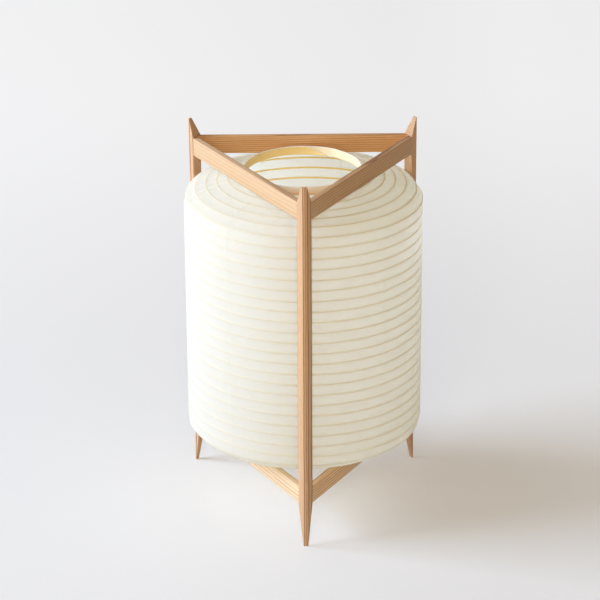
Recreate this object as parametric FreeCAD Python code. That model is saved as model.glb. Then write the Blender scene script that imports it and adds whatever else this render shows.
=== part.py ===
import FreeCAD, Part
import math
import os

# Three-legged andon floor lamp: a cypress frame of three posts and six rails
# round a drum-shaped lantern of paper gores pasted over one long bamboo hoop
# strip wound in a spiral, with a bulb in a small lampholder on a bar across
# the bottom rails.
# Millimetres, +Z up, front post towards -Y. The pieces are modelled about the
# lantern's own axis and moved back at the end, so that the origin lies on the
# floor at the middle of the lamp's outline.

# Frame posts and rails
FRAME_HEIGHT = 380.0
POST_FACET_RADIUS = 131.0
POST_FACET_WIDTH = 4.0
POST_SIDE_LENGTH = 10.0
POST_TIP_DEPTH = 1.1
POST_TIP_RISE = 18.0
FOOT_HEIGHT = 44.0
RAIL_THICKNESS = 6.0
RAIL_HEIGHT = 18.0

# Stub tenons that join a rail to its posts, one high and one low
TENON_LENGTH = 4.0
TENON_THICKNESS = 2.4
TENON_SHOULDER = 1.5
TENON_SPACING = 1.0
TENON_CLEARANCE = 0.1

# Lantern
SHADE_POST_GAP = 4.34
SHOULDER_RISE = 19.7
PAPER_THICKNESS = 0.4
SHADE_SEAT_GAP = 0.3
RING_RAIL_GAP = 1.83
MOUTH_RING_THICKNESS = 1.6
MOUTH_RING_HEIGHT = 8.6
RING_LAP_THICKNESS = 1.1
HOOP_WIDTH = 1.5
HOOP_DEPTH = 1.1
HOOP_CLEARANCE = 0.1

# Bar across the bottom rails, with the hole that the cord comes up through
LAMP_BAR_WIDTH = 24.0
LAMP_BAR_THICKNESS = 6.0
LAMP_BAR_HOUSING = 2.0
CORD_HOLE_RADIUS = 3.5

# Lampholder and its bracket
BRACKET_END = 5.0
BRACKET_MARGIN = 6.0
BRACKET_THICKNESS = 1.2
SCREW_RADIUS = 1.5
SCREW_HEAD_RADIUS = 2.8
SCREW_HEAD_HEIGHT = 2.0
SCREW_HEAD_GAP = 1.2
SCREW_COVER = 2.2
SCREW_HOLE_CLEARANCE = 0.1
TERMINAL_CHAMBER_MARGIN = 2.0
TERMINAL_CHAMBER_HEIGHT = 6.0
HOLDER_WEB = 5.0
HOLDER_WALL = 4.7
HOLDER_SHELL_WALL = 0.5
HOLDER_SHELL_CLEARANCE = 0.1
HOLDER_RIM = 1.5
CONTACT_THICKNESS = 0.5
CONTACT_WIDTH = 4.0
CONTACT_RISE = 2.6

# Bulb
CAP_RADIUS = 8.3
CAP_LENGTH = 16.0
CAP_RUNNING_GAP = 0.4
TIP_RADIUS = 3.0
TIP_HEIGHT = 0.8
TIP_CONTACT_GAP = 0.3
INSULATOR_STEP = 1.7
INSULATOR_HEIGHT = 3.0
HOUSING_LIP = 0.9
HOUSING_HEIGHT = 15.0
HOUSING_LIFT = 0.6
GLOBE_RADIUS = 17.5

# Cutting tools run past what they cut by this much
OVERRUN = 1.0

# Four corners count as flat when the last is no further than this from the plane of the others
FLATNESS = 0.000001

# Counts, angles in degrees, and shares
POST_NAMES = ("front", "rear_right", "rear_left")
RAIL_NAMES = ("right", "rear", "left")
BAR_RAILS = ("left", "right")
FRONT_ANGLE = -90.0
BODY_TURN_COUNT = 22
SHOULDER_TURN_COUNT = 5.75
HOOP_START_ANGLE = -10.0
HOOP_FLAT_COUNT = 22
GORE_COUNT = 9
GORE_FLAT_COUNT = 6
RING_FLAT_COUNT = 72
RING_LAP_FLAT_COUNT = 5
RING_LAP_START_ANGLE = 85.0
SHELL_FLAT_COUNT = 36
BULB_FLAT_COUNT = 36
GLOBE_BAND_COUNT = 6
GLOBE_SEAT_SHARE = 0.83
SHOULDER_RADIUS_SHARES = (0.602, 0.854, 0.943)
SHOULDER_HEIGHT_SHARES = (1.0, 0.569, 0.335)

# Sizes worked out from the ones above
FULL_TURN = 360.0
CORNER = FULL_TURN / len(POST_NAMES)
HALF_CORNER = CORNER / 2
COS_CORNER = math.cos(math.radians(HALF_CORNER))
SIN_CORNER = math.sin(math.radians(HALF_CORNER))
POST_INNER_RADIUS = POST_FACET_RADIUS - POST_SIDE_LENGTH * SIN_CORNER
POST_INNER_HALF = POST_FACET_WIDTH / 2 + POST_SIDE_LENGTH * COS_CORNER
RAIL_OUTER = POST_FACET_RADIUS * COS_CORNER + POST_FACET_WIDTH / 2 * SIN_CORNER
RAIL_INNER = RAIL_OUTER - RAIL_THICKNESS
TOP_RAIL_Z = FRAME_HEIGHT - POST_TIP_RISE - RAIL_HEIGHT
BOTTOM_RAIL_Z = FOOT_HEIGHT
TENON_HEIGHT = (RAIL_HEIGHT - TENON_SPACING) / 2 - TENON_SHOULDER
SHADE_RADIUS = POST_INNER_RADIUS - SHADE_POST_GAP
SHADE_TOP_Z = TOP_RAIL_Z - SHADE_SEAT_GAP
SHADE_BOTTOM_Z = BOTTOM_RAIL_Z + RAIL_HEIGHT + SHADE_SEAT_GAP
SHADE_MIDDLE_Z = (SHADE_TOP_Z + SHADE_BOTTOM_Z) / 2
BODY_TOP_Z = SHADE_TOP_Z - SHOULDER_RISE
PAPER_FLAT_DIP = 1 - math.cos(math.pi / (GORE_COUNT * GORE_FLAT_COUNT))
MOUTH_RING_RADIUS = RAIL_INNER - RING_RAIL_GAP - RING_LAP_THICKNESS
MOUTH_RADIUS = MOUTH_RING_RADIUS - MOUTH_RING_THICKNESS
LAMP_BAR_TOP = SHADE_BOTTOM_Z - MOUTH_RING_HEIGHT
BRACKET_TOP = LAMP_BAR_TOP + BRACKET_THICKNESS
SCREW_LENGTH = BRACKET_THICKNESS + LAMP_BAR_THICKNESS - SCREW_COVER
TERMINAL_CHAMBER_RADIUS = CORD_HOLE_RADIUS + TERMINAL_CHAMBER_MARGIN
HOLDER_FLOOR = BRACKET_TOP + TERMINAL_CHAMBER_HEIGHT + HOLDER_WEB
TIP_Z = HOLDER_FLOOR + CONTACT_RISE + TIP_CONTACT_GAP
INSULATOR_Z = TIP_Z + TIP_HEIGHT
CAP_Z = INSULATOR_Z + INSULATOR_HEIGHT
HOUSING_Z = CAP_Z + CAP_LENGTH
HOLDER_TOP = HOUSING_Z - HOUSING_LIFT
GLOBE_Z = HOUSING_Z + HOUSING_HEIGHT
GLOBE_SEAT_RADIUS = GLOBE_RADIUS * GLOBE_SEAT_SHARE
HOLDER_SHELL_RADIUS = CAP_RADIUS + CAP_RUNNING_GAP
HOLDER_BORE_RADIUS = HOLDER_SHELL_RADIUS + HOLDER_SHELL_WALL + HOLDER_SHELL_CLEARANCE
HOLDER_RADIUS = HOLDER_BORE_RADIUS + HOLDER_WALL
SCREW_OFFSET = HOLDER_RADIUS + SCREW_HEAD_GAP + SCREW_HEAD_RADIUS
AXIS_SHIFT = (POST_FACET_RADIUS - SHADE_RADIUS) / 2

ORIGIN = FreeCAD.Vector(0, 0, 0)
UP = FreeCAD.Vector(0, 0, 1)


def prism(outline, bottom, top):
    """Straight solid over an XY outline, from one height to another."""
    points = [FreeCAD.Vector(x, y, bottom) for x, y in outline]
    face = Part.Face(Part.makePolygon(points + points[:1]))
    return face.extrude(UP * (top - bottom))


def flat(corners):
    """Faces over these corners: one, or none where they fall together on the axis."""
    distinct = [here for before, here in zip(corners[-1:] + corners[:-1], corners) if here != before]
    if len(distinct) == 2:
        return []
    return [Part.Face(Part.makePolygon(distinct + distinct[:1]))]


def in_flats(outline, count, sweep=FULL_TURN):
    """Solid swept about the axis in this many flats, from an outline of (radius, height) points."""
    sections = []
    for index in range(count + 1):
        angle = math.radians(sweep * index / count)
        along_x = math.cos(angle)
        along_y = math.sin(angle)
        sections.append([FreeCAD.Vector(r * along_x, r * along_y, z) for r, z in outline])
    if sweep == FULL_TURN:
        sections[-1] = sections[0]
        faces = []
    else:
        faces = flat(sections[0]) + flat(sections[-1])
    for near, far in zip(sections, sections[1:]):
        for edge in range(len(outline)):
            faces += flat([near[edge - 1], near[edge], far[edge], far[edge - 1]])
    solid = Part.Solid(Part.Shell(faces))
    if solid.Volume < 0:
        solid.reverse()
    return solid


def rod(radius, bottom, top, x=0.0):
    return Part.makeCylinder(radius, top - bottom, FreeCAD.Vector(x, 0, bottom))


def swung(shape, angle):
    """Copy of a shape, swung about the lantern's axis."""
    copy = shape.copy()
    copy.rotate(ORIGIN, UP, angle)
    return copy


def save(name, shapes):
    group = shapes if isinstance(shapes, list) else [shapes]
    shape = group[0] if len(group) == 1 else Part.makeCompound(group)
    placed = shape.copy()
    placed.translate(FreeCAD.Vector(0, AXIS_SHIFT, 0))
    placed.exportStep("parts/" + name + ".step")


# Frame

def rail_end(distance):
    """Half length of a rail, measured in a plane at this distance from the axis."""
    return (POST_INNER_RADIUS - distance * COS_CORNER) / SIN_CORNER


def tenon(high, grow=0.0):
    """Tenon on the +Y end of a rail that faces +X, or its mortise when grown."""
    middle = RAIL_INNER + RAIL_THICKNESS / 2
    half = TENON_THICKNESS / 2 + grow
    start = rail_end(RAIL_OUTER) - TENON_LENGTH
    end = rail_end(middle) + TENON_LENGTH + grow
    low_z = RAIL_HEIGHT - TENON_SHOULDER - TENON_HEIGHT if high else TENON_SHOULDER
    outline = [(middle - half, start), (middle + half, start), (middle + half, end), (middle - half, end)]
    return prism(outline, low_z - grow, low_z + TENON_HEIGHT + grow)


def mirrored_end(shape):
    return shape.mirror(ORIGIN, FreeCAD.Vector(0, 1, 0))


def rail():
    """Rail that faces +X, standing on zero height."""
    outer = rail_end(RAIL_OUTER)
    inner = rail_end(RAIL_INNER)
    outline = [(RAIL_OUTER, -outer), (RAIL_OUTER, outer), (RAIL_INNER, inner), (RAIL_INNER, -inner)]
    body = prism(outline, 0, RAIL_HEIGHT)
    return body.fuse([tenon(True), mirrored_end(tenon(False))]).removeSplitter()


def post():
    """Post that faces +X: a cut-off triangle in section, tapered at its tip and foot."""
    half = POST_FACET_WIDTH / 2
    section = [
        (POST_FACET_RADIUS, -half),
        (POST_FACET_RADIUS, half),
        (POST_INNER_RADIUS, POST_INNER_HALF),
        (POST_INNER_RADIUS, -POST_INNER_HALF),
    ]
    side = [
        (POST_FACET_RADIUS, 0),
        (POST_FACET_RADIUS, FRAME_HEIGHT),
        (POST_FACET_RADIUS - POST_TIP_DEPTH, FRAME_HEIGHT),
        (POST_INNER_RADIUS, FRAME_HEIGHT - POST_TIP_RISE),
        (POST_INNER_RADIUS, FOOT_HEIGHT),
        (POST_FACET_RADIUS - POST_TIP_DEPTH, 0),
    ]
    reach = POST_INNER_HALF + OVERRUN
    points = [FreeCAD.Vector(x, -reach, z) for x, z in side]
    slab = Part.Face(Part.makePolygon(points + points[:1])).extrude(FreeCAD.Vector(0, 2 * reach, 0))
    blank = prism(section, 0, FRAME_HEIGHT).common(slab)
    high = swung(tenon(True, TENON_CLEARANCE), -HALF_CORNER)
    low = swung(mirrored_end(tenon(False, TENON_CLEARANCE)), HALF_CORNER)
    mortises = []
    for height in (BOTTOM_RAIL_Z, TOP_RAIL_Z):
        for cutter in (high, low):
            raised = cutter.copy()
            raised.translate(UP * height)
            mortises.append(raised)
    return blank.cut(mortises)


def lamp_bar():
    """Bar that runs along X and is let into the left and right bottom rails."""
    half = LAMP_BAR_WIDTH / 2
    tilt = math.radians(FRONT_ANGLE + HALF_CORNER)
    reach = RAIL_INNER + LAMP_BAR_HOUSING
    front = (reach + half * math.sin(tilt)) / math.cos(tilt)
    rear = (reach - half * math.sin(tilt)) / math.cos(tilt)
    outline = [(-front, -half), (front, -half), (rear, half), (-rear, half)]
    return prism(outline, LAMP_BAR_TOP - LAMP_BAR_THICKNESS, LAMP_BAR_TOP)


def build_frame():
    upright = post()
    for index, place in enumerate(POST_NAMES):
        save(place + "_post", swung(upright, FRONT_ANGLE + CORNER * index))
    bar = lamp_bar()
    bare_rail = rail()
    for index, side in enumerate(RAIL_NAMES):
        for level, height in (("top", TOP_RAIL_Z), ("bottom", BOTTOM_RAIL_Z)):
            placed = swung(bare_rail, FRONT_ANGLE + HALF_CORNER + CORNER * index)
            placed.translate(UP * height)
            if level == "bottom" and side in BAR_RAILS:
                placed = placed.cut(bar)
            save(level + "_rail_" + side, placed)
    holes = [rod(CORD_HOLE_RADIUS, LAMP_BAR_TOP - LAMP_BAR_THICKNESS - OVERRUN, LAMP_BAR_TOP + OVERRUN)]
    for x in screw_places():
        holes.append(screw_hole(x, LAMP_BAR_TOP + OVERRUN))
    save("lamp_bar", bar.cut(holes))


# Lantern

def shoulder_points():
    """Outer corners of the paper from the mouth ring to the drum, top end."""
    corners = [(MOUTH_RADIUS, SHADE_TOP_Z)]
    for radius_share, height_share in zip(SHOULDER_RADIUS_SHARES, SHOULDER_HEIGHT_SHARES):
        corners.append((SHADE_RADIUS * radius_share, BODY_TOP_Z + SHOULDER_RISE * height_share))
    corners.append((SHADE_RADIUS, BODY_TOP_Z))
    return corners


def flipped(points):
    """The same points at the lantern's other end."""
    return [(radius, 2 * SHADE_MIDDLE_Z - height) for radius, height in points]


def corner_turns(corners):
    """Direction of the paper's inward normal at each inner corner, and half the bend there."""
    turns = []
    for before, here, after in zip(corners, corners[1:], corners[2:]):
        first = math.atan2(here[1] - before[1], here[0] - before[0])
        second = math.atan2(after[1] - here[1], after[0] - here[0])
        turns.append(((first + second) / 2 - math.pi / 2, (first - second) / 2))
    return turns


def inset(corners, turns, depth):
    """Corners moved inwards by the paper's thickness."""
    moved = []
    for (radius, height), (normal, bend) in zip(corners, turns):
        step = depth / math.cos(bend)
        moved.append((radius + step * math.cos(normal), height + step * math.sin(normal)))
    return moved


def paper_gores():
    top = shoulder_points()
    outer = top + flipped(top)[::-1]
    inner = [(MOUTH_RADIUS, SHADE_TOP_Z - PAPER_THICKNESS)]
    inner += inset(outer[1:-1], corner_turns(outer), PAPER_THICKNESS)
    inner.append((MOUTH_RADIUS, SHADE_BOTTOM_Z + PAPER_THICKNESS))
    sweep = FULL_TURN / GORE_COUNT
    gore = in_flats(outer + inner[::-1], GORE_FLAT_COUNT, sweep)
    return [swung(gore, FRONT_ANGLE + sweep * index) for index in range(GORE_COUNT)]


def hoop_track():
    """Line just inside the paper that the hoop strip follows, from mouth to mouth."""
    top = shoulder_points()
    outer = top + flipped(top)[::-1]
    depth = PAPER_THICKNESS + HOOP_CLEARANCE
    line = [(MOUTH_RADIUS, SHADE_TOP_Z - depth)]
    line += inset(outer[1:-1], corner_turns(outer), depth)
    line.append((MOUTH_RADIUS, SHADE_BOTTOM_Z + depth))
    return [(radius * (1 - PAPER_FLAT_DIP), height) for radius, height in line]


def track_point(line, length):
    """Point at this length along a line of (radius, height) points."""
    for start, end in zip(line, line[1:]):
        span = math.dist(start, end)
        if length <= span or end == line[-1]:
            share = length / span
            return tuple(a + (b - a) * share for a, b in zip(start, end))
        length -= span


def track_length(turn, shoulder, body):
    """Length along the track that the strip has reached after this many turns."""
    start = HOOP_WIDTH / 2
    per_shoulder_turn = (shoulder - start) / SHOULDER_TURN_COUNT
    if turn < SHOULDER_TURN_COUNT:
        return start + per_shoulder_turn * turn
    turn -= SHOULDER_TURN_COUNT
    if turn < BODY_TURN_COUNT:
        return shoulder + body * turn / BODY_TURN_COUNT
    return shoulder + body + per_shoulder_turn * (turn - BODY_TURN_COUNT)


def hoop_section(line, length, angle):
    """Section of the hoop strip, its outer face on the track at this length."""
    first = track_point(line, length - HOOP_WIDTH / 2)
    second = track_point(line, length + HOOP_WIDTH / 2)
    width = math.dist(first, second)
    inwards = ((second[1] - first[1]) / width, (first[0] - second[0]) / width)
    corners = [first, second]
    for radius, height in (second, first):
        corners.append((radius + HOOP_DEPTH * inwards[0], height + HOOP_DEPTH * inwards[1]))
    turn = math.radians(angle)
    return [FreeCAD.Vector(r * math.cos(turn), r * math.sin(turn), z) for r, z in corners]


def in_one_plane(corners):
    """Whether four corners lie in one plane."""
    first, second, third, fourth = corners
    normal = (second - first).cross(third - first).normalize()
    return abs((fourth - first).dot(normal)) < FLATNESS


def hoop_spiral():
    """Flat bamboo strip wound in short flats from one mouth to the other, inside the paper."""
    line = hoop_track()
    spans = [math.dist(start, end) for start, end in zip(line, line[1:])]
    body = max(spans)
    shoulder = (sum(spans) - body) / 2
    flat_total = round((2 * SHOULDER_TURN_COUNT + BODY_TURN_COUNT) * HOOP_FLAT_COUNT)
    sections = []
    for index in range(flat_total + 1):
        turn = index / HOOP_FLAT_COUNT
        length = track_length(turn, shoulder, body)
        sections.append(hoop_section(line, length, HOOP_START_ANGLE + FULL_TURN * turn))
    faces = flat(sections[0]) + flat(sections[-1])
    for near, far in zip(sections, sections[1:]):
        for edge in range(len(near)):
            corners = [near[edge - 1], near[edge], far[edge], far[edge - 1]]
            faces += flat(corners) if in_one_plane(corners) else flat(corners[:3]) + flat(corners[2:] + corners[:1])
    solid = Part.Solid(Part.Shell(faces))
    if solid.Volume < 0:
        solid.reverse()
    return solid


def mouth_ring(bottom):
    """Bamboo band of the mouth, with its ends lapped at the rear."""
    top = bottom + MOUTH_RING_HEIGHT
    band = [(MOUTH_RADIUS, bottom), (MOUTH_RING_RADIUS, bottom), (MOUTH_RING_RADIUS, top), (MOUTH_RADIUS, top)]
    middle = MOUTH_RING_RADIUS - MOUTH_RING_THICKNESS / 2
    outside = MOUTH_RING_RADIUS + RING_LAP_THICKNESS
    lap = [(middle, bottom), (outside, bottom), (outside, top), (middle, top)]
    lap_sweep = FULL_TURN * RING_LAP_FLAT_COUNT / RING_FLAT_COUNT
    lap_end = swung(in_flats(lap, RING_LAP_FLAT_COUNT, lap_sweep), RING_LAP_START_ANGLE)
    return in_flats(band, RING_FLAT_COUNT).fuse(lap_end).removeSplitter()


def build_lantern():
    save("top_mouth_ring", mouth_ring(SHADE_TOP_Z))
    save("bottom_mouth_ring", mouth_ring(SHADE_BOTTOM_Z - MOUTH_RING_HEIGHT))
    save("shade_paper", paper_gores())
    save("hoop_spiral", hoop_spiral())


# Lampholder and bulb

def screw_places():
    return (-SCREW_OFFSET, SCREW_OFFSET)


def screw_hole(x, top):
    """Hole for a bracket screw, from this height down past its point."""
    bottom = BRACKET_TOP - SCREW_LENGTH - SCREW_HOLE_CLEARANCE
    return rod(SCREW_RADIUS + SCREW_HOLE_CLEARANCE, bottom, top, x)


def build_lampholder():
    half_length = SCREW_OFFSET + BRACKET_END
    half_width = LAMP_BAR_WIDTH / 2 - BRACKET_MARGIN
    outline = [
        (-half_length, -half_width),
        (half_length, -half_width),
        (half_length, half_width),
        (-half_length, half_width),
    ]
    holes = [rod(CORD_HOLE_RADIUS, LAMP_BAR_TOP - OVERRUN, BRACKET_TOP + OVERRUN)]
    screws = []
    for x in screw_places():
        holes.append(screw_hole(x, BRACKET_TOP + OVERRUN))
        head = rod(SCREW_HEAD_RADIUS, BRACKET_TOP, BRACKET_TOP + SCREW_HEAD_HEIGHT, x)
        screws.append(head.fuse(rod(SCREW_RADIUS, BRACKET_TOP - SCREW_LENGTH, BRACKET_TOP, x)))
    save("lampholder_bracket", prism(outline, LAMP_BAR_TOP, BRACKET_TOP).cut(holes))
    save("bracket_screws", screws)

    body = rod(HOLDER_RADIUS, BRACKET_TOP, HOLDER_TOP)
    chamber = rod(TERMINAL_CHAMBER_RADIUS, BRACKET_TOP - OVERRUN, BRACKET_TOP + TERMINAL_CHAMBER_HEIGHT)
    bore = rod(HOLDER_BORE_RADIUS, HOLDER_FLOOR, HOLDER_TOP + OVERRUN)
    save("lampholder_body", body.cut([chamber, bore]))

    outside = HOLDER_SHELL_RADIUS + HOLDER_SHELL_WALL
    wall = [
        (HOLDER_SHELL_RADIUS, HOLDER_FLOOR),
        (outside, HOLDER_FLOOR),
        (outside, HOLDER_TOP - HOLDER_RIM),
        (HOLDER_SHELL_RADIUS, HOLDER_TOP - HOLDER_RIM),
    ]
    save("lampholder_shell", in_flats(wall, SHELL_FLAT_COUNT))
    save("lampholder_contact", contact())


def contact():
    """Spring strip folded back over itself, under the bulb's tip."""
    reach = HOLDER_SHELL_RADIUS - HOLDER_SHELL_WALL - CONTACT_WIDTH / 2
    leaf = CONTACT_THICKNESS
    top = HOLDER_FLOOR + CONTACT_RISE
    profile = [
        (reach, HOLDER_FLOOR),
        (reach, HOLDER_FLOOR + leaf),
        (leaf - reach, HOLDER_FLOOR + leaf),
        (-TIP_RADIUS, top - leaf),
        (TIP_RADIUS, top - leaf),
        (TIP_RADIUS, top),
        (-TIP_RADIUS - leaf, top),
        (-reach, HOLDER_FLOOR + leaf),
        (-reach, HOLDER_FLOOR),
    ]
    points = [FreeCAD.Vector(x, -CONTACT_WIDTH / 2, z) for x, z in profile]
    return Part.Face(Part.makePolygon(points + points[:1])).extrude(FreeCAD.Vector(0, CONTACT_WIDTH, 0))


def globe():
    """Opal globe: a ball in bands of flats, cut off where it sits on the housing."""
    rise = math.sqrt(GLOBE_RADIUS ** 2 - GLOBE_SEAT_RADIUS ** 2)
    start = math.atan2(-rise, GLOBE_SEAT_RADIUS)
    outline = [(0, GLOBE_Z)]
    for index in range(GLOBE_BAND_COUNT):
        angle = start + (math.pi / 2 - start) * index / GLOBE_BAND_COUNT
        outline.append((GLOBE_RADIUS * math.cos(angle), GLOBE_Z + rise + GLOBE_RADIUS * math.sin(angle)))
    outline.append((0, GLOBE_Z + rise + GLOBE_RADIUS))
    return in_flats(outline, BULB_FLAT_COUNT)


def frustum(bottom_radius, top_radius, bottom, top):
    return in_flats([(0, bottom), (bottom_radius, bottom), (top_radius, top), (0, top)], BULB_FLAT_COUNT)


def build_bulb():
    save("bulb_tip", rod(TIP_RADIUS, TIP_Z, INSULATOR_Z))
    save("bulb_insulator", frustum(TIP_RADIUS, CAP_RADIUS - INSULATOR_STEP, INSULATOR_Z, CAP_Z))
    save("bulb_cap", rod(CAP_RADIUS, CAP_Z, HOUSING_Z))
    save("bulb_housing", frustum(CAP_RADIUS + HOUSING_LIP, GLOBE_SEAT_RADIUS, HOUSING_Z, GLOBE_Z))
    save("bulb_globe", globe())


os.makedirs("parts", exist_ok=True)
build_frame()
build_lantern()
build_lampholder()
build_bulb()
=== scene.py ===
"""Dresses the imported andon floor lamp: a cypress frame, a lantern of paper gores over a
spiral bamboo hoop strip, and the lampholder and bulb inside it, on a pale studio floor.
"""

import bisect
import math

import bmesh
import bpy
from bpy.props import FloatProperty, FloatVectorProperty, PointerProperty
from mathutils import Matrix, Vector, noise


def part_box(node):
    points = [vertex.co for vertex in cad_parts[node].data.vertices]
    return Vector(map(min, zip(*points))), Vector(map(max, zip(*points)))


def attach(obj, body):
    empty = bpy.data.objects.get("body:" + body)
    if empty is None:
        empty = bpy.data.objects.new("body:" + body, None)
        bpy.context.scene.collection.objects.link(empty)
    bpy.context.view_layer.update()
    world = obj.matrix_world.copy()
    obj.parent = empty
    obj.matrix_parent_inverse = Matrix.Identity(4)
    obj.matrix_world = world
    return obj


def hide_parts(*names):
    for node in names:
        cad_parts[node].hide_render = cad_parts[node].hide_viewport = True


bl_info = {
    "name": "Andon floor lamp",
    "version": (1, 0, 0),
    "blender": (4, 5, 0),
    "location": "3D View > Sidebar > Andon lamp",
    "description": "Dresses the andon floor lamp and sets up its studio",
    "category": "Object",
}

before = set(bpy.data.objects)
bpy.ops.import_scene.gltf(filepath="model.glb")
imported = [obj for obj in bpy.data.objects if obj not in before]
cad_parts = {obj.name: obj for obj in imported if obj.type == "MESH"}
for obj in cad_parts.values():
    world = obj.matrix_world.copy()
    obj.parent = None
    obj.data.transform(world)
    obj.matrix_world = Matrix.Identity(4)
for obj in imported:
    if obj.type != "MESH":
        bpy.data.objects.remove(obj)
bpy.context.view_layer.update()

# Lengths are written in millimetres times MM, because the scene is in metres
MM = 0.001

# Points this close are one point, and flat faces that turn by less than this many degrees are one face
MERGE_REACH = 0.002 * MM
FLAT_TURN = 1.0

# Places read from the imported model
PAPER_LOW, PAPER_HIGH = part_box("shade_paper")
RING_LOW, RING_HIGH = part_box("top_mouth_ring")
LOW_RING_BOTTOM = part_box("bottom_mouth_ring")[0].z
CAP_LOW, CAP_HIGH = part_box("bulb_cap")
AXIS_Y = (CAP_LOW.y + CAP_HIGH.y) / 2
AXIS = Vector((0, AXIS_Y, 0))
SHADE_RADIUS = PAPER_HIGH.y - AXIS_Y
SHADE_MIDDLE = (PAPER_LOW.z + PAPER_HIGH.z) / 2

# Lantern outline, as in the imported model: shares of the drum's radius and of the shoulder's rise,
# with a soft bend at each corner
SHOULDER_RISE = 19.7 * MM
SHOULDER_BEND = 5.0 * MM
SHOULDER_BEND_STEPS = 5
SHOULDER_RADIUS_SHARES = (0.602, 0.854, 0.943)
SHOULDER_HEIGHT_SHARES = (1.0, 0.569, 0.335)
DRUM_TOP = PAPER_HIGH.z - SHOULDER_RISE
MOUTH_RADIUS = 56.7 * MM
BAND_THICKNESS = 1.5 * MM
GORE_COUNT = 9

# Turns of the hoop strip, from the seam where it starts under the top mouth ring
FULL_TURN = 360.0
HOOP_START_ANGLE = -10.0
BODY_TURN_COUNT = 22
SHOULDER_TURN_COUNT = 5.75
STRIP_TURN_COUNT = 2 * SHOULDER_TURN_COUNT + BODY_TURN_COUNT

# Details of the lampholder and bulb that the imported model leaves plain
THREAD_STEP = 0.25 * MM
THREAD_FADE = 1.2 * MM
THREAD_LEAST_RADIUS = 7.0 * MM
SHELL_WALL = 0.5 * MM
HOUSING_LIP = 0.9 * MM
BRACKET_EDGE = 0.3 * MM
HOLDER_EDGE = 0.8 * MM
CONTACT_EDGE = 0.1 * MM
INSULATOR_EDGE = 0.3 * MM
SCREW_SHANK_RADIUS = 1.5 * MM
SCREW_POINT = 1.2 * MM
RECESS_ARM = 1.75 * MM
RECESS_HALF_WIDTH = 0.36 * MM
RECESS_DEPTH = 0.9 * MM
RECESS_OVERRUN = 1.0 * MM
RECESS_TAPER_SHARE = 0.7

# Places of the lamps and of the point that they aim at, in metres
WINDOW_PLACE = (-4.8, -0.1, 2.15)
ROOM_PLACE = (-0.4, -4.5, 2.4)
LAMP_AIM = (0, 0, 0.15)
FLOOR_REACH = 9.0

# Directions that the posts and rails face, in degrees
POSTS = {"front_post": -90.0, "rear_right_post": 30.0, "rear_left_post": 150.0}
RAIL_SIDES = {"right": -30.0, "rear": 90.0, "left": 210.0}

# How the posts and each rail were sawn: ring spacing as a share of the usual, how far the rings
# wander in millimetres, contrast, and a tone that multiplies the wood's colours. The bottom rails'
# paler tones are painted light, standing in for the window light and floor bounce that fall on them;
# the other tones make a piece darker or more orange
POST_GRAIN = {"ring_shift": 0.23, "wander": 0.5, "wide": 0.6, "contrast": 1.5, "tone": (1.0, 0.93, 0.88)}
POST_RING_TURN = 80.0
RAIL_GRAIN_TILT = 0.012
RAIL_GRAIN = {
    "top_rail_left": {"wide": 1.6, "contrast": 0.5},
    "top_rail_right": {"wide": 1.05, "contrast": 1.1, "tone": (0.92, 0.87, 0.82)},
    "top_rail_rear": {"wide": 0.86, "contrast": 1.05, "tone": (1.08, 0.9, 0.66)},
    # Paler tones on the two bottom rails: painted light from the window and the floor bounce
    "bottom_rail_left": {"wide": 1.5, "contrast": 0.8, "tone": (1.22, 1.36, 1.5)},
    "bottom_rail_right": {"wide": 1.1, "contrast": 1.1, "tone": (1.2, 1.2, 1.22)},
    "bottom_rail_rear": {"wide": 1.0, "contrast": 0.9},
}


def srgb(red, green, blue):
    """Scene colour of a colour written as it looks, from 0 to 255."""
    def linear(value):
        share = value / 255
        return share / 12.92 if share <= 0.04045 else ((share + 0.055) / 1.055) ** 2.4
    return (linear(red), linear(green), linear(blue))


def colour_property(name, description, look):
    return FloatVectorProperty(
        name=name, description=description, subtype="COLOR", size=3, min=0, max=1, default=srgb(*look)
    )


def length_property(name, description, millimetres):
    return FloatProperty(
        name=name, description=description, default=millimetres * MM, unit="LENGTH", min=0
    )


def power_property(name, description, watts):
    return FloatProperty(name=name, description=description, default=watts, unit="POWER", min=0)


def share_property(name, description, share):
    return FloatProperty(name=name, description=description, default=share, min=0, max=1)


class AndonWood(bpy.types.PropertyGroup):
    """Sizes and colours of the cypress frame."""

    early: colour_property("Early wood", "Pale wood between the ring lines", (222, 186, 142))
    late: colour_property("Late wood", "Dark line at the end of each annual ring", (140, 80, 38))
    ring_spacing: length_property("Ring spacing", "Width of one annual ring", 2.6)
    chamfer: length_property("Chamfer", "Width of the softened edges", 0.22)


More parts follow.
